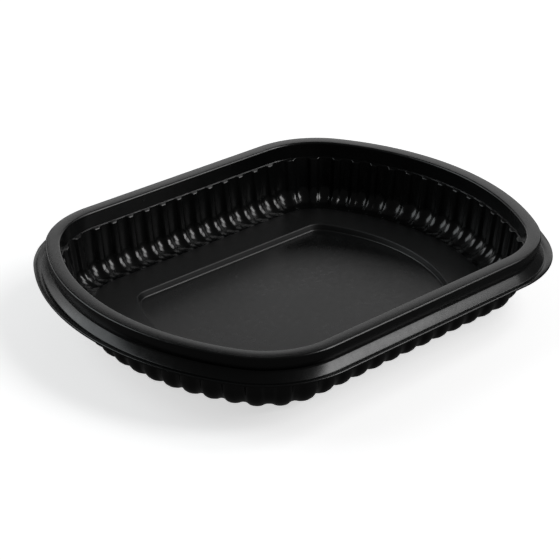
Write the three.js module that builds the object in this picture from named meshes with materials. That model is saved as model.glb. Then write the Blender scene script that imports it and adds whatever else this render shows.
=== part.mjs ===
import * as THREE from 'three';

// Microwave food tray, thermoformed in one piece from black polypropylene sheet.
// Millimetres, +Z up, X along the long side, origin under the middle of the base.
// The tray is one closed skin: the upper face of the sheet runs from the middle of the floor out
// to the lip, turns round the cut edge and comes back underneath, one sheet thickness lower.
// Every loop of points follows the same rounded outline, shifted in or out by an offset.

// --- driving dimensions ---

const SHEET = 0.8;
const TOTAL_HEIGHT = 31.0;

// plan of the rim, at the outer edge of its bead: two straight sides, two bowed ends, round corners
const RIM_LENGTH = 204.2;
const RIM_WIDTH = 160.0;
const END_RADIUS = 113.5;
const CORNER_RADIUS = 39.9;

// rim section: a flat-topped bead, a catch groove under it, a sloping face and a lip turned up a little
const BEAD_WIDTH = 6.3;
const BEAD_EDGE_RADIUS = 0.9;
const BEAD_FOOT_IN = 0.2;
const GROOVE_IN = 1.0;
const GROOVE_DROP = 5.7;
const GROOVE_HALF_HEIGHT = 0.8;
const FACE_TOP_IN = 0.6;
const FACE_FOOT_OUT = 1.9;
const FACE_FOOT_DROP = 9.8;
const LIP_OUT = 5.1;
const LIP_DROP = 8.5;

// wall: it starts at a small sloping ledge, and is pressed into shallow scallops, with straight
// flanks that lean in to narrow flat-fronted ribs between them
const LEDGE_INSET = 6.45;
const LEDGE_DROP = 7.2;
const LEDGE_SLOPE = 0.28;
const FLUTES_PER_QUARTER = 15;
const FLUTE_PITCH_INSET = 12.5;
const END_CROWDING = 1.034;
const CORNER_CROWDING = 0.93;
const SCALLOP_RADIUS = 3.0;
const SCALLOP_HALF_WIDTH = 1.8;
const FLANK_SLOPE = 1.0;
const WAVE_DEPTH = 2.2;
const FLUTE_INSET_TOP = 6.8;
const FLUTE_INSET_FOOT = 9.1;
const FLUTE_FOOT_DROP = 30.3;
const FLUTE_FOOT_RADIUS = 9.0;
const RIB_DEPTH_TOP = 1.3;
const RIB_DEPTH_FOOT = 1.8;
const RIB_FOOT_RISE = 1.4;

// floor: a ring that rises gently inwards, and a sunk panel that the tray stands on
const RING_START_INSET = 20.0;
const RING_SLOPE = 0.053;
const PANEL_INSET = 37.3;
const PANEL_CORNER_RADIUS = 8.1;
const PANEL_EDGE_DROP = 27.3;
const PANEL_WALL_RUN = 0.9;

// facets: phases of the points across one flute, and steps along each stretch of a quarter
const FLUTE_PHASES = [0, 0.2, 0.38, 0.62, 0.8];
const FOOT_STEPS = 4;
const FOOT_LARGEST_SHARE = 0.85;
const END_STEPS = 5;
const CORNER_STEPS = 6;
const SIDE_STEPS = 4;

// --- plan outlines ---

// The outline shifted out by an offset. One quarter is half an end arc, a corner arc and half a side.
function outlineAt(offset, cornerRadius = CORNER_RADIUS + offset) {
  const endRadius = END_RADIUS + offset;
  const endCentre = RIM_LENGTH / 2 - END_RADIUS;
  const halfWidth = RIM_WIDTH / 2 + offset;
  const cornerY = halfWidth - cornerRadius;
  const reach = Math.sqrt((endRadius - cornerRadius) ** 2 - cornerY ** 2);
  return {
    endRadius,
    endCentre,
    halfWidth,
    cornerRadius,
    cornerY,
    cornerX: endCentre + reach,
    turn: Math.atan2(cornerY, reach),
  };
}

// A station is a place round the outline: 0 to 1 along half the end, 1 to 2 round the corner,
// 2 to 3 along half the side, and so on through the four mirrored quarters up to 12.
const QUARTER = 3;
const ROUND = 4 * QUARTER;

function planPoint(outline, station) {
  const quadrant = Math.floor(station / QUARTER);
  const along = station - quadrant * QUARTER;
  const t = quadrant % 2 === 0 ? along : QUARTER - along;
  let x;
  let y;
  if (t < 1) {
    x = outline.endCentre + outline.endRadius * Math.cos(outline.turn * t);
    y = outline.endRadius * Math.sin(outline.turn * t);
  } else if (t < 2) {
    const angle = outline.turn + (Math.PI / 2 - outline.turn) * (t - 1);
    x = outline.cornerX + outline.cornerRadius * Math.cos(angle);
    y = outline.cornerY + outline.cornerRadius * Math.sin(angle);
  } else {
    x = outline.cornerX * (QUARTER - t);
    y = outline.halfWidth;
  }
  const signX = quadrant === 1 || quadrant === 2 ? -1 : 1;
  const signY = quadrant >= 2 ? -1 : 1;
  return new THREE.Vector2(x * signX, y * signY);
}

// Plain columns, spread by the stretch they are on.
function plainColumns() {
  const quarter = [];
  for (const [start, steps] of [[0, END_STEPS], [1, CORNER_STEPS], [2, SIDE_STEPS]]) {
    for (let k = 0; k < steps; k += 1) quarter.push(start + k / steps);
  }
  const columns = [];
  for (let quadrant = 0; quadrant < 4; quadrant += 1) {
    const stations = quadrant % 2 === 0
      ? quarter
      : [0, ...quarter.slice(1).map((t) => QUARTER - t).reverse()];
    for (const t of stations) columns.push({ station: quadrant * QUARTER + t, phase: 0 });
  }
  return columns;
}

// The flutes are pitched in equal steps along one outline. Its three stretches are weighted, so
// that flutes stand a little closer on the ends and wider in the corners.
const pitchLine = outlineAt(-FLUTE_PITCH_INSET);
const lengths = [
  pitchLine.endRadius * pitchLine.turn * END_CROWDING,
  pitchLine.cornerRadius * (Math.PI / 2 - pitchLine.turn) * CORNER_CROWDING,
  pitchLine.cornerX,
];
const quarterLength = lengths[0] + lengths[1] + lengths[2];
const pitch = quarterLength / FLUTES_PER_QUARTER;

// Flute columns, each with the station it stands at and its phase across the flute.
function fluteColumns() {
  const stationAt = (distance) => {
    let stretch = 0;
    let rest = distance;
    while (stretch < 2 && rest > lengths[stretch]) {
      rest -= lengths[stretch];
      stretch += 1;
    }
    return stretch + rest / lengths[stretch];
  };
  const columns = [];
  for (let flute = 0; flute < 4 * FLUTES_PER_QUARTER; flute += 1) {
    for (const phase of FLUTE_PHASES) {
      const distance = (flute + phase) * pitch;
      const quadrant = Math.floor(distance / quarterLength + 1e-9);
      const along = distance - quadrant * quarterLength;
      const t = quadrant % 2 === 0
        ? stationAt(along)
        : QUARTER - stationAt(quarterLength - along);
      columns.push({ station: quadrant * QUARTER + t, phase });
    }
  }
  return columns;
}

// --- section of the upper face ---

// A section point is [offset from the bead's outer edge, height above the table].
const heightAt = (drop) => TOTAL_HEIGHT - drop;

// From the lip inwards over the bead, down to where the flutes begin.
function rimSection() {
  const r = BEAD_EDGE_RADIUS;
  const shoulder = r * (1 - Math.SQRT1_2);
  return [
    [LIP_OUT, heightAt(LIP_DROP)],
    [FACE_FOOT_OUT, heightAt(FACE_FOOT_DROP)],
    [-FACE_TOP_IN, heightAt(GROOVE_DROP + GROOVE_HALF_HEIGHT)],
    [-GROOVE_IN, heightAt(GROOVE_DROP)],
    [-BEAD_FOOT_IN, heightAt(GROOVE_DROP - GROOVE_HALF_HEIGHT)],
    [0, heightAt(r)],
    [-shoulder, heightAt(shoulder)],
    [-r, heightAt(0)],
    [r - BEAD_WIDTH, heightAt(0)],
    [shoulder - BEAD_WIDTH, heightAt(shoulder)],
    [-BEAD_WIDTH, heightAt(r)],
    [-LEDGE_INSET, heightAt(LEDGE_DROP)],
  ];
}

const ringStart = [
  -RING_START_INSET,
  heightAt(PANEL_EDGE_DROP) - RING_SLOPE * (PANEL_INSET - RING_START_INSET),
];

// How far the wall stands in at a phase, from 0 in the middle of a scallop to 1 on a rib.
function ribShare(phase) {
  const across = Math.min(phase, 1 - phase) * pitch;
  const arc = Math.min(across, SCALLOP_HALF_WIDTH) ** 2 / (2 * SCALLOP_RADIUS);
  const flank = FLANK_SLOPE * Math.max(across - SCALLOP_HALF_WIDTH, 0);
  return Math.min((arc + flank) / WAVE_DEPTH, 1);
}

// A corner rounded by an exact arc between its two tangent points, written as a rational curve
// whose middle weight is the cosine of half the turn.
function roundedCorner(before, corner, after, radius, steps) {
  const into = new THREE.Vector2(corner[0] - before[0], corner[1] - before[1]);
  const out = new THREE.Vector2(after[0] - corner[0], after[1] - corner[1]);
  const shortest = Math.min(into.length(), out.length());
  into.normalize();
  out.normalize();
  const halfTurn = Math.acos(into.dot(out)) / 2;
  const tangent = Math.min(radius * Math.tan(halfTurn), FOOT_LARGEST_SHARE * shortest);
  const first = [corner[0] - into.x * tangent, corner[1] - into.y * tangent];
  const last = [corner[0] + out.x * tangent, corner[1] + out.y * tangent];
  const points = [];
  for (let k = 0; k <= steps; k += 1) {
    const t = k / steps;
    const a = (1 - t) ** 2;
    const b = 2 * Math.cos(halfTurn) * t * (1 - t);
    const c = t ** 2;
    points.push([0, 1].map((i) => (a * first[i] + b * corner[i] + c * last[i]) / (a + b + c)));
  }
  return points;
}

// Down one line of the fluted wall and round its foot, which runs out on the ring. Phase 0 is the
// middle of a scallop, phase 0.5 the front of the rib beside it.
function wallSection(phase) {
  const rib = ribShare(phase);
  const inset = FLUTE_INSET_TOP + RIB_DEPTH_TOP * rib;
  const top = [-inset, heightAt(LEDGE_DROP + LEDGE_SLOPE * (inset - LEDGE_INSET))];
  const foot = [
    -FLUTE_INSET_FOOT - RIB_DEPTH_FOOT * rib,
    heightAt(FLUTE_FOOT_DROP - RIB_FOOT_RISE * rib),
  ];
  return [top, ...roundedCorner(top, foot, ringStart, FLUTE_FOOT_RADIUS, FOOT_STEPS)];
}

// Across the ring and down into the panel.
function floorSection() {
  return [
    ringStart,
    [-PANEL_INSET, heightAt(PANEL_EDGE_DROP)],
    [-PANEL_INSET - PANEL_WALL_RUN, SHEET],
  ];
}

// The lower face: each point moved one sheet thickness to the under side, square to the section,
// with mitred corners.
function undersideOf(section) {
  const normals = [];
  for (let k = 0; k + 1 < section.length; k += 1) {
    const dx = section[k + 1][0] - section[k][0];
    const dz = section[k + 1][1] - section[k][1];
    const length = Math.hypot(dx, dz);
    normals.push([-dz / length, dx / length]);
  }
  return section.map(([x, z], k) => {
    const a = normals[Math.max(k - 1, 0)];
    const b = normals[Math.min(k, normals.length - 1)];
    const mitre = SHEET / (1 + a[0] * b[0] + a[1] * b[1]);
    return [x + (a[0] + b[0]) * mitre, z + (a[1] + b[1]) * mitre];
  });
}

// --- loops of points ---

const vertices = [];
const triangles = [];

function addVertex(x, y, z) {
  vertices.push(x, y, z);
  return vertices.length / 3 - 1;
}

// One loop round the tray. pointFor gives the section point of a column.
function addLoop(columns, pointFor, cornerFor = () => undefined) {
  return columns.map((column) => {
    const [offset, z] = pointFor(column);
    const plan = planPoint(outlineAt(offset, cornerFor(offset)), column.station);
    return { station: column.station, vertex: addVertex(plan.x, plan.y, z) };
  });
}

// A band between two loops that may have different numbers of points: it steps along whichever
// loop has the nearer next point.
function joinLoops(first, second) {
  let i = 0;
  let j = 0;
  const stationOf = (loop, k) => (k < loop.length ? loop[k].station : ROUND);
  const vertexOf = (loop, k) => loop[k % loop.length].vertex;
  while (i < first.length || j < second.length) {
    const stepFirst = j >= second.length
      || (i < first.length && stationOf(first, i + 1) <= stationOf(second, j + 1));
    if (stepFirst) {
      triangles.push(vertexOf(first, i), vertexOf(second, j), vertexOf(first, i + 1));
      i += 1;
    } else {
      triangles.push(vertexOf(first, i), vertexOf(second, j), vertexOf(second, j + 1));
      j += 1;
    }
  }
}

function closeLoop(loop, z, facesUp) {
  const centre = addVertex(0, 0, z);
  loop.forEach(({ vertex }, k) => {
    const next = loop[(k + 1) % loop.length].vertex;
    if (facesUp) triangles.push(centre, vertex, next);
    else triangles.push(vertex, centre, next);
  });
}

// --- the tray ---

const plain = plainColumns();
const fluted = fluteColumns();
const rim = rimSection();
const floor = floorSection();

// the whole section at one phase, and the same line on the under side
const sectionAt = (phase) => [...rim, ...wallSection(phase), ...floor, [-RIM_WIDTH / 2, SHEET]];
const wallCount = wallSection(0).length;
const plainTop = sectionAt(0);
const plainUnder = undersideOf(plainTop);
const topAtPhase = new Map(FLUTE_PHASES.map((phase) => [phase, sectionAt(phase)]));
const underAtPhase = new Map(FLUTE_PHASES.map((phase) => [phase, undersideOf(sectionAt(phase))]));

const panelCorner = (offset) => PANEL_CORNER_RADIUS + PANEL_INSET + offset;
const panelStart = rim.length + wallCount + 1;
const sectionEnd = rim.length + wallCount + floor.length;

// the loop at place k of the section, on the upper or lower face
function sectionLoop(k, plainSection, flutedSections) {
  const onWall = k >= rim.length && k < rim.length + wallCount;
  if (onWall) return addLoop(fluted, ({ phase }) => flutedSections.get(phase)[k]);
  if (k < panelStart) return addLoop(plain, () => plainSection[k]);
  return addLoop(plain, () => plainSection[k], panelCorner);
}

const places = Array.from({ length: sectionEnd }, (_, k) => k);
const upper = places.map((k) => sectionLoop(k, plainTop, topAtPhase)).reverse();
const lower = places.map((k) => sectionLoop(k, plainUnder, underAtPhase));
const loops = [...upper, ...lower];

closeLoop(loops[0], SHEET, true);
for (let k = 0; k + 1 < loops.length; k += 1) joinLoops(loops[k], loops[k + 1]);
closeLoop(loops[loops.length - 1], 0, false);

const geometry = new THREE.BufferGeometry();
geometry.setAttribute('position', new THREE.Float32BufferAttribute(vertices, 3));
geometry.setIndex(triangles);
geometry.computeVertexNormals();

const tray = new THREE.Mesh(
  geometry,
  new THREE.MeshStandardMaterial({ color: 0x141517, roughness: 0.36, metalness: 0 }),
);
tray.name = 'tray';

const group = new THREE.Group();
group.add(tray);

export default group;
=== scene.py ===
import math

import bpy
import numpy as np
from mathutils import Matrix, Vector


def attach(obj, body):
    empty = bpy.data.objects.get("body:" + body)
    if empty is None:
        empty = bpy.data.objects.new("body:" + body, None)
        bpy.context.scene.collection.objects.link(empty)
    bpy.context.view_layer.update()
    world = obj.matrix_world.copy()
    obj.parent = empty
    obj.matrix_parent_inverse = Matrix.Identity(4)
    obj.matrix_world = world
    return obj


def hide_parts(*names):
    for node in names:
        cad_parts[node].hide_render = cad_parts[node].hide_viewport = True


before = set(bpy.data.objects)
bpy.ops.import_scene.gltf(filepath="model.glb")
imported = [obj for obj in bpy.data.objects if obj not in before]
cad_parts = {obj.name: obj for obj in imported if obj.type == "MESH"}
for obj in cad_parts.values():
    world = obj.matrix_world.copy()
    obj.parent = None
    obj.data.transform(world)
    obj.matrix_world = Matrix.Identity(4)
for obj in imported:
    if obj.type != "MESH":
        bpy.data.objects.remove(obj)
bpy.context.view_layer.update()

# --- The camera ---
# A long lens from the front left, looking down into the open tray. Its place was worked out from
# the tray's own outline in the photograph.
camera_turn = math.radians(-41.4)
camera_rise = math.radians(27.9)
camera_distance = 0.7043
camera_roll = -0.0034
camera_target = Vector((-0.01329, -0.00606, 0.0160))
back = Vector((math.sin(camera_turn) * math.cos(camera_rise),
               -math.cos(camera_turn) * math.cos(camera_rise),
               math.sin(camera_rise)))
camera_data = bpy.data.cameras.new("camera")
camera_data.sensor_width = 36.0
camera_data.lens = 108.34
camera_data.clip_end = 50.0
camera = bpy.data.objects.new("camera", camera_data)
bpy.context.scene.collection.objects.link(camera)
right = (-back).cross(Vector((0, 0, 1))).normalized()
up = right.cross(-back)
tilted_right = math.cos(camera_roll) * right + math.sin(camera_roll) * up
tilted_up = -math.sin(camera_roll) * right + math.cos(camera_roll) * up
camera.matrix_world = Matrix((
    (tilted_right.x, tilted_up.x, back.x, camera_target.x + back.x * camera_distance),
    (tilted_right.y, tilted_up.y, back.y, camera_target.y + back.y * camera_distance),
    (tilted_right.z, tilted_up.z, back.z, camera_target.z + back.z * camera_distance),
    (0, 0, 0, 1)))
bpy.context.scene.camera = camera

# --- The plan of the tray ---
# Every part of the tray follows one rounded outline: two straight long sides, two bowed ends and
# round corners. All sizes are in millimetres, as on a toolmaker's drawing, and become metres in
# the mesh.
HALF_LENGTH, HALF_WIDTH = 102.1, 80.0
END_RADIUS, CORNER_RADIUS = 113.5, 39.9
FLUTES = 60
PITCH_INSET = 12.5
END_CROWDING, CORNER_CROWDING = 1.034, 0.93
COLUMNS_PER_FLUTE = 24
PLAIN_STEP = 3


def quarter_outline(offset, corner_radius=None):
    """The centres, radii and turning angle of one quarter of the outline, moved out by offset, a
    number or an array. The corner's arc touches the end's arc inside, so the distance between their
    centres is the difference of their radii."""
    offset = np.asarray(offset, float)
    corner = CORNER_RADIUS + offset if corner_radius is None else corner_radius
    end = END_RADIUS + offset
    corner_y = HALF_WIDTH + offset - corner
    reach = np.sqrt((end - corner) ** 2 - corner_y ** 2)
    end_centre = HALF_LENGTH - END_RADIUS
    return end_centre, end, end_centre + reach, corner_y, corner, np.arctan2(corner_y, reach)


def pitch_lengths():
    """The lengths of half an end, a corner and half a side along the line that the flutes are
    pitched on, weighted: flutes stand a little closer on the ends and wider in the corners."""
    _, end, corner_x, _, corner, turn = (float(v) for v in quarter_outline(-PITCH_INSET))
    return np.array([end * turn * END_CROWDING,
                     corner * (math.pi / 2 - turn) * CORNER_CROWDING, corner_x])


def stations_of_columns():
    """Where each column stands round the outline, in even steps of pitch length, as the number of
    its quarter and a place 0 to 3 in it (half end, corner, half side)."""
    lengths = pitch_lengths()
    columns = FLUTES * COLUMNS_PER_FLUTE
    place = np.arange(columns) * 4 / columns
    number = np.floor(place).astype(int)
    along = place - number
    along = np.where(number % 2 == 1, 1 - along, along)
    ends = np.concatenate([[0.0], np.cumsum(lengths)]) / lengths.sum()
    return number, np.interp(along, ends, [0.0, 1.0, 2.0, 3.0])


quarter_number, station = stations_of_columns()


def plan_points(offset, corner_radius=None, step=1):
    """Points of the outline moved out by offset (columns x rows), at every column or every step-th:
    an arc of the bowed end, the corner's arc, then the straight side, mirrored into four quarters."""
    end_centre, end, corner_x, corner_y, corner, turn = quarter_outline(offset, corner_radius)
    s = station[::step, None]
    on_end = turn * np.clip(s, 0, 1)
    on_corner = turn + (math.pi / 2 - turn) * np.clip(s - 1, 0, 1)
    x = np.where(s <= 1, end_centre + end * np.cos(on_end),
                 np.where(s <= 2, corner_x + corner * np.cos(on_corner), corner_x * (3 - s)))
    y = np.where(s <= 1, end * np.sin(on_end),
                 np.where(s <= 2, corner_y + corner * np.sin(on_corner), HALF_WIDTH + offset))
    number = quarter_number[::step, None]
    return np.where((number == 1) | (number == 2), -x, x), np.where(number >= 2, -y, y)


# --- The flutes ---
# The wall is pressed into sixty flutes that stiffen it: each is a shallow scallop, between straight
# flanks that lean in to a narrow flat-fronted rib.
SCALLOP_RADIUS, SCALLOP_HALF_WIDTH = 3.0, 1.8
FLANK_SLOPE, WAVE_DEPTH = 1.0, 2.2
EASE = 0.3


def rib_share():
    """How far the wall stands in at each column, from 0 in the middle of a scallop to 1 on a rib. The
    scallop is a parabola, the distance across squared over twice its radius. The flank runs
    straight on at a slope of its own, and the rib's front is a smooth minimum with 1."""
    phase = (np.arange(len(station)) / COLUMNS_PER_FLUTE + 0.5) % 1.0 - 0.5
    across = np.abs(phase) * pitch_lengths().sum() * 4 / FLUTES
    scallop = across ** 2 / (2 * SCALLOP_RADIUS)
    flank = SCALLOP_HALF_WIDTH ** 2 / (2 * SCALLOP_RADIUS) + FLANK_SLOPE * (across - SCALLOP_HALF_WIDTH)
    wave = np.where(across < SCALLOP_HALF_WIDTH, scallop, flank) / WAVE_DEPTH
    share = np.clip(0.5 + 0.5 * (1.0 - wave) / EASE, 0, 1)
    return 1.0 - share + wave * share - EASE * share * (1 - share)


# --- The tray's section ---
# The upper face of the sheet, drawn from the cut edge of the lip inwards: lip, sloping face, catch
# groove, flat-topped bead, ledge, fluted wall, floor ring and sunk panel. The under face is the
# same line one sheet thickness away. Corners are rounded, as the sheet is drawn over the tool.
SHEET = 0.8
HEIGHT = 31.0
TIGHTEST_BEND = 0.12
RIM_CORNERS = [             # offset, drop below the bead's top and rounding radius of:
    (5.1, 8.5, 0),          # the cut edge of the lip
    (1.9, 9.8, 0.5),        # the fold between the lip and the sloping face
    (-0.6, 6.5, 0.35),      # the top of the sloping face
    (-1.0, 5.7, 0.35),      # the bottom of the catch groove
    (-0.2, 4.9, 0.35),      # the top of the catch groove
    (0.0, 0.0, 0.8),        # the outer edge of the bead
    (-6.3, 0.0, 0.9)]       # the inner edge of the bead
LEDGE_INSET, LEDGE_DROP, LEDGE_SLOPE = 6.45, 7.2, 0.28
FLUTE_TOP, FLUTE_TOP_ROUND = 6.8, 0.7
FLUTE_FOOT, FLUTE_FOOT_DROP, FLUTE_FOOT_ROUND = 9.1, 30.3, 9.0
RIB_TOP, RIB_FOOT, RIB_FOOT_RISE = 1.3, 1.8, 1.4
RIB_NARROWS = (0.4, 0.95)
RING_START_INSET, RING_START_ROUND, RING_SLOPE = 20.0, 6.0, 0.053
PANEL_DROP, PANEL_INSET, PANEL_CORNER, PANEL_EDGE_ROUND = 27.3, 37.3, 8.1, 0.7
PANEL_WALL_RUN, PANEL_FLAT_RUN, PANEL_FOOT_ROUND = 0.9, 3.0, 0.8

# the steps of the arc at each corner, from the lip inwards; a corner with none is one bare point
UPPER_STEPS = [0, 3, 3, 3, 3, 5, 5, 3, 4, 10, 3, 3, 3, 0]
LOWER_STEPS = [0, 2, 2, 2, 2, 4, 4, 2, 2, 8, 2, 3, 3, 0]
FIRST_FLUTED, LAST_FLUTED = 8, 10
TANGENT_SHARE, LONG_ARC_TANGENT_SHARE, LONG_ARC_STEPS = 0.45, 0.85, 7


def section_corners(rib):
    """The section's corners for every column (columns x corners x 2) as offset and height, and the
    radius that rounds each. A rib is narrower at its top, by a smooth step of its share. The floor
    ring is a cone that rises evenly inwards to the panel's edge."""
    narrowed = np.clip((rib - RIB_NARROWS[0]) / (RIB_NARROWS[1] - RIB_NARROWS[0]), 0, 1)
    top = FLUTE_TOP + RIB_TOP * narrowed ** 2 * (3 - 2 * narrowed)
    ring_start = HEIGHT - PANEL_DROP - RING_SLOPE * (PANEL_INSET - RING_START_INSET)
    rows = [(offset, HEIGHT - drop, radius) for offset, drop, radius in RIM_CORNERS] + [
        (-LEDGE_INSET, HEIGHT - LEDGE_DROP, TIGHTEST_BEND),
        (-top, HEIGHT - LEDGE_DROP - LEDGE_SLOPE * (top - LEDGE_INSET), FLUTE_TOP_ROUND),
        (-FLUTE_FOOT - RIB_FOOT * rib, HEIGHT - FLUTE_FOOT_DROP + RIB_FOOT_RISE * rib,
         FLUTE_FOOT_ROUND),
        (-RING_START_INSET, ring_start, RING_START_ROUND),
        (-PANEL_INSET, HEIGHT - PANEL_DROP, PANEL_EDGE_ROUND),
        (-PANEL_INSET - PANEL_WALL_RUN, SHEET, PANEL_FOOT_ROUND),
        (-PANEL_INSET - PANEL_FLAT_RUN, SHEET, 0)]
    whole = np.stack([np.stack([np.broadcast_to(np.asarray(v, float), rib.shape) for v in row], -1)
                      for row in rows], 1)
    return whole[..., :2], whole[..., 2]


def underside(corners):
    """Each corner moved one sheet thickness to the under side, square to the section, mitred."""
    edge = np.diff(corners, axis=1)
    edge /= np.linalg.norm(edge, axis=2, keepdims=True)
    normal = np.stack([-edge[..., 1], edge[..., 0]], -1)
    before = np.concatenate([normal[:, :1], normal], 1)
    after = np.concatenate([normal, normal[:, -1:]], 1)
    mitre = SHEET / (1 + (before * after).sum(2, keepdims=True))
    return corners + (before + after) * mitre


def rounded_section(corners, radii, steps):
    """The corners joined by straight runs and exact arcs. An arc between tangent points A and B
    about corner P is the rational curve ((1-s)^2 A + 2 w s (1-s) P + s^2 B) / (the weights' sum),
    with w the cosine of half the turn. A tangent takes at most a share of the shorter run beside
    it, and a greater share for an arc of many steps, because such an arc's neighbours are small."""
    rows = []
    for k, count in enumerate(steps):
        point = corners[:, k]
        if count == 0:
            rows.append(point[:, None])
            continue
        into, out = point - corners[:, k - 1], corners[:, k + 1] - point
        len_in, len_out = (np.linalg.norm(v, axis=1, keepdims=True) for v in (into, out))
        into, out = into / len_in, out / len_out
        half_turn = np.arccos(np.clip((into * out).sum(1, keepdims=True), -1, 1)) / 2
        tangent = radii[:, k:k + 1] * np.tan(half_turn)
        most = LONG_ARC_TANGENT_SHARE if count > LONG_ARC_STEPS else TANGENT_SHARE
        tangent = np.minimum(tangent, most * np.minimum(len_in, len_out))
        first, last = point - into * tangent, point + out * tangent
        s = np.linspace(0, 1, count + 1)[None, :, None]
        w = np.cos(half_turn)[:, :, None]
        weights = (1 - s) ** 2 + 2 * w * s * (1 - s) + s ** 2
        rows.append(((1 - s) ** 2 * first[:, None] + 2 * w * s * (1 - s) * point[:, None]
                     + s ** 2 * last[:, None]) / weights)
    return np.concatenate(rows, 1)


def sheet_faces(rib):
    """The upper and the under line of the sheet for columns at these rib shares. A bend that is
    hollow above is tighter above than below by the sheet's thickness, and the other way round."""
    corners, radii = section_corners(rib)
    edge = np.diff(corners, axis=1)
    turn_sign = np.sign(edge[:, :-1, 0] * edge[:, 1:, 1] - edge[:, :-1, 1] * edge[:, 1:, 0])
    lower_radii = radii.copy()
    lower_radii[:, 1:-1] = np.maximum(radii[:, 1:-1] - turn_sign * SHEET, TIGHTEST_BEND)
    return (rounded_section(corners, radii, UPPER_STEPS),
            rounded_section(underside(corners), lower_radii, LOWER_STEPS))


# --- The tray, black polypropylene, one sheet drawn into one mould ---
# One closed skin of loops round the tray: from the middle of the panel out over the upper face to
# the lip and back underneath. Plain loops have a third of the fluted ones' points. The share of
# drawing at each corner of the section sets the gloss, and was judged by the photograph's gloss.
MM_PER_METRE = 1000
UPPER_FACE, UNDER_FACE = 0, 1
PANEL_RINGS = 7
DRAWN_SHARES = [0.83] * 7 + [0.95, 1.0, 1.0, 0.15, 0.0, 0.4, 0.62]


def loops_of_face(rib, face, steps):
    """The loops of one face from the lip inwards, each points x 4: a place in millimetres and its
    share of drawing. The section line is carried round the outline, by fine columns where it is
    fluted and by coarse ones where it is plain, and the panel's flat is filled by smaller loops."""
    fluted, plain = sheet_faces(rib)[face], sheet_faces(np.zeros(1))[face]
    loops = []
    row = 0
    for corner, count in enumerate(steps):
        is_fluted = FIRST_FLUTED <= corner <= LAST_FLUTED
        line, step = (fluted, 1) if is_fluted else (plain, PLAIN_STEP)
        for _ in range(count + 1 if count else 1):
            offset, z = line[:, row:row + 1, 0], line[:, row:row + 1, 1]
            corner_radius = PANEL_CORNER + PANEL_INSET + offset if corner > LAST_FLUTED else None
            x, y = plan_points(offset, corner_radius, step)
            loops.append(np.concatenate([x, y, np.broadcast_to(z, x.shape),
                                         np.full(x.shape, DRAWN_SHARES[corner])], 1))
            row += 1
    for share in np.linspace(1, 0, PANEL_RINGS + 1)[1:-1]:
        loops.append(loops[row - 1] * (share, share, 1, 1))
    return loops


def joined(first, second):
    """The faces between two loops of point numbers: quads, or where one loop has three points to
    the other's one, a triangle, a quad and a triangle to each point of the coarse loop."""
    if len(first) == len(second):
        return np.stack([first, second, np.roll(second, -1), np.roll(first, -1)], -1).tolist()
    fine, coarse = (first, second) if len(first) > len(second) else (second, first)
    f0, f1, f2 = fine.reshape(-1, 3).T
    f3, ahead = np.roll(f0, -1), np.roll(coarse, -1)
    faces = (np.stack([coarse, f1, f0], -1), np.stack([coarse, ahead, f2, f1], -1),
             np.stack([ahead, f3, f2], -1))
    turn = -1 if fine is second else 1
    return [corners[::turn] for face in faces for corners in face.tolist()]


rib = rib_share()
loops = (loops_of_face(rib, UPPER_FACE, UPPER_STEPS)[::-1]
         + loops_of_face(rib, UNDER_FACE, LOWER_STEPS))
ends = np.cumsum([0] + [len(loop) for loop in loops])
numbers = [np.arange(start, stop) for start, stop in zip(ends[:-1], ends[1:])]
points = np.concatenate(loops + [[[0, 0, SHEET, DRAWN_SHARES[-1]], [0, 0, 0, DRAWN_SHARES[-1]]]])
faces = [face for one, next_one in zip(numbers[:-1], numbers[1:]) for face in joined(one, next_one)]
first, last = numbers[0], numbers[-1]
faces += np.stack([np.full(len(first), ends[-1]), first, np.roll(first, -1)], -1).tolist()
faces += np.stack([last, np.full(len(last), ends[-1] + 1), np.roll(last, -1)], -1).tolist()
tray_mesh = bpy.data.meshes.new("tray_shell")
tray_mesh.from_pydata((points[:, :3] / MM_PER_METRE).tolist(), [], faces)
tray_mesh.attributes.new("drawn", "FLOAT", "POINT").data.foreach_set("value", points[:, 3])
tray_mesh.polygons.foreach_set("use_smooth", np.ones(len(tray_mesh.polygons), bool))
tray_mesh.update()
tray = bpy.data.objects.new("tray_shell", tray_mesh)
bpy.context.scene.collection.objects.link(tray)

# the finish: near-black, satin from the tool and glossier where the sheet is drawn further, with
# soft waves, a fine grain, upright drawing streaks, clouded patches from handling and thin rubs
black_plastic = bpy.data.materials.new("black_polypropylene")
black_plastic.use_nodes = True
nodes, links = black_plastic.node_tree.nodes, black_plastic.node_tree.links
shader = nodes["Principled BSDF"]
shader.inputs["IOR"].default_value = 1.5
place = nodes.new("ShaderNodeTexCoord").outputs["Object"]


def noise(scale, detail, stretch=(1, 1, 1)):
    """A noise on the tray's own place, in features per metre, squeezed along each axis."""
    mapping = nodes.new("ShaderNodeMapping")
    mapping.inputs["Scale"].default_value = stretch
    links.new(place, mapping.inputs["Vector"])
    texture = nodes.new("ShaderNodeTexNoise")
    texture.inputs["Scale"].default_value = scale
    texture.inputs["Detail"].default_value = detail
    links.new(mapping.outputs["Vector"], texture.inputs["Vector"])
    return texture.outputs["Fac"]


def ranged(value, source, target):
    """A value carried from one range to another, and held at its ends."""
    node = nodes.new("ShaderNodeMapRange")
    for name, number in zip(("From Min", "From Max", "To Min", "To Max"), (*source, *target)):
        node.inputs[name].default_value = number
    links.new(value, node.inputs["Value"])
    return node.outputs["Result"]


def summed(*values):
    """The values added up."""
    total = values[0]
    for value in values[1:]:
        node = nodes.new("ShaderNodeMath")
        node.operation = "ADD"
        links.new(total, node.inputs[0])
        links.new(value, node.inputs[1])
        total = node.outputs["Value"]
    return total


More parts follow.
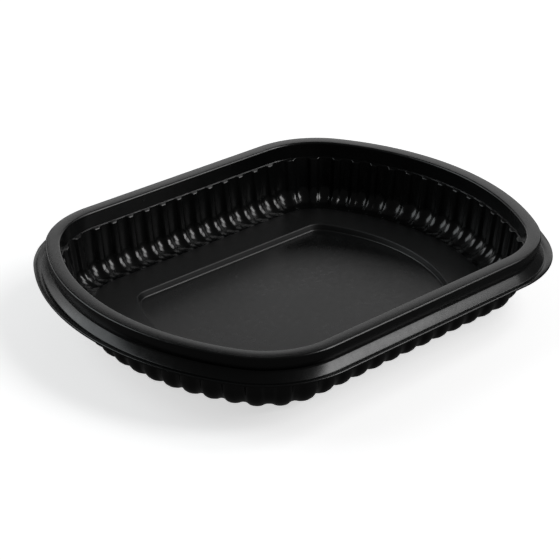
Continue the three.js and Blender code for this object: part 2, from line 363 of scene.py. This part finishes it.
clouds = noise(scale=34, detail=4)
grain = noise(scale=2300, detail=2)
streaks = noise(scale=420, detail=2, stretch=(1, 1, 0.06))
rubs = noise(scale=90, detail=3, stretch=(1, 14, 1))
drawn_share = nodes.new("ShaderNodeAttribute")
drawn_share.attribute_name = "drawn"
rough_from_drawing = ranged(drawn_share.outputs["Fac"], (0.0, 1.0), (0.48, 0.19))
rough_from_clouds = ranged(clouds, (0.32, 0.68), (-0.015, 0.015))
rough_from_grain = ranged(grain, (0.3, 0.7), (-0.02, 0.02))
rough_from_streaks = ranged(streaks, (0.35, 0.65), (-0.015, 0.02))
rough_from_rubs = ranged(rubs, (0.66, 0.72), (0.0, 0.015))
links.new(summed(rough_from_drawing, rough_from_clouds, rough_from_grain, rough_from_streaks,
                 rough_from_rubs), shader.inputs["Roughness"])

tint = nodes.new("ShaderNodeMix")
tint.data_type = "RGBA"
tint.inputs["A"].default_value = (0.0028, 0.0031, 0.0032, 1)
tint.inputs["B"].default_value = (0.0052, 0.0054, 0.0053, 1)
links.new(ranged(clouds, (0.3, 0.7), (0.0, 1.0)), tint.inputs["Factor"])
links.new(tint.outputs["Result"], shader.inputs["Base Color"])

waves = nodes.new("ShaderNodeBump")
waves.inputs["Strength"].default_value = 1.0
waves.inputs["Distance"].default_value = 0.000015
links.new(noise(scale=45, detail=1), waves.inputs["Height"])
fine = nodes.new("ShaderNodeBump")
fine.inputs["Strength"].default_value = 1.0
fine.inputs["Distance"].default_value = 0.0000006
links.new(grain, fine.inputs["Height"])
links.new(waves.outputs["Normal"], fine.inputs["Normal"])
links.new(fine.outputs["Normal"], shader.inputs["Normal"])
tray_mesh.materials.append(black_plastic)
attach(tray, "root")
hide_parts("tray")

# --- The floor ---
# A wide white table top that glows a little, so that it comes out as a plain pale ground with a
# soft shadow. The tray's gloss sees it dark, as in a studio with a black surround. It lies a tenth
# of a millimetre under the tray, so that the two faces do not lie in one plane.
floor_mesh = bpy.data.meshes.new("studio_floor")
half_floor = 6.0
floor_z = -0.0001
floor_mesh.from_pydata([(-half_floor, -half_floor, floor_z), (half_floor, -half_floor, floor_z),
                        (half_floor, half_floor, floor_z), (-half_floor, half_floor, floor_z)],
                       [], [(0, 1, 2, 3)])
studio_floor = bpy.data.objects.new("studio_floor", floor_mesh)
bpy.context.scene.collection.objects.link(studio_floor)
pale_top = bpy.data.materials.new("pale_table_top")
pale_top.use_nodes = True
floor_nodes, floor_links = pale_top.node_tree.nodes, pale_top.node_tree.links
seen = floor_nodes["Principled BSDF"]
seen.inputs["Base Color"].default_value = (0.9, 0.9, 0.9, 1)
seen.inputs["Roughness"].default_value = 1.0
seen.inputs["Specular IOR Level"].default_value = 0.0
seen.inputs["Emission Color"].default_value = (1, 1, 1, 1)
seen.inputs["Emission Strength"].default_value = 0.62
mirrored = floor_nodes.new("ShaderNodeEmission")
mirrored.inputs["Color"].default_value = (0.055, 0.055, 0.055, 1)
chosen = floor_nodes.new("ShaderNodeMixShader")
floor_links.new(floor_nodes.new("ShaderNodeLightPath").outputs["Is Camera Ray"], chosen.inputs["Fac"])
floor_links.new(mirrored.outputs["Emission"], chosen.inputs[1])
floor_links.new(seen.outputs["BSDF"], chosen.inputs[2])
floor_links.new(chosen.outputs["Shader"], floor_nodes["Material Output"].inputs["Surface"])
floor_mesh.materials.append(pale_top)

# --- The studio's light ---
# A softbox at the front right and one on the right draw the streaks at the feet of the flutes and
# light the rim's face. A screen behind on the right shows in the panel and on the bead, a screen
# and a cool softbox further left in the left end. Above and behind the camera it is nearly dark.
world = bpy.data.worlds.new("studio")
world.use_nodes = True
world.node_tree.nodes["Background"].inputs["Color"].default_value = (1, 1, 1, 1)
world.node_tree.nodes["Background"].inputs["Strength"].default_value = 0.05
bpy.context.scene.world = world
bpy.context.scene.view_settings.view_transform = "Standard"
LAMP_DISTANCE = 1.8


def soft_lamp(name, azimuth, rise, wide, high, brightness, colour=(1, 1, 1)):
    """A rectangular lamp that faces the tray from an azimuth (degrees from +X towards +Y) and a rise,
    wide in degrees of azimuth and high in degrees as the tray sees it. An area lamp of power P and
    area A has a brightness of P / 4A."""
    turn, lift = math.radians(azimuth), math.radians(rise)
    direction = Vector((math.cos(turn) * math.cos(lift), math.sin(turn) * math.cos(lift),
                        math.sin(lift)))
    lamp_data = bpy.data.lights.new(name, "AREA")
    lamp_data.shape = "RECTANGLE"
    lamp_data.size = 2 * LAMP_DISTANCE * math.tan(math.radians(wide / 2)) * math.cos(lift)
    lamp_data.size_y = 2 * LAMP_DISTANCE * math.tan(math.radians(high / 2))
    lamp_data.energy = 4 * brightness * lamp_data.size * lamp_data.size_y
    lamp_data.color = colour
    lamp = bpy.data.objects.new(name, lamp_data)
    bpy.context.scene.collection.objects.link(lamp)
    lamp.location = direction * LAMP_DISTANCE
    lamp.rotation_euler = direction.to_track_quat("Z", "Y").to_euler()
    lamp.visible_camera = False


soft_lamp("softbox_front_right", 307, 39, 24, 30, 4.6)
soft_lamp("softbox_right", 342, 50, 32, 20, 2.8)
soft_lamp("screen_behind_right", 37, 18, 52, 28, 0.67)
soft_lamp("screen_behind", 92, 14, 60, 18, 0.8)
soft_lamp("softbox_behind_left", 125, 34, 36, 38, 1.5, (0.93, 0.98, 1.0))
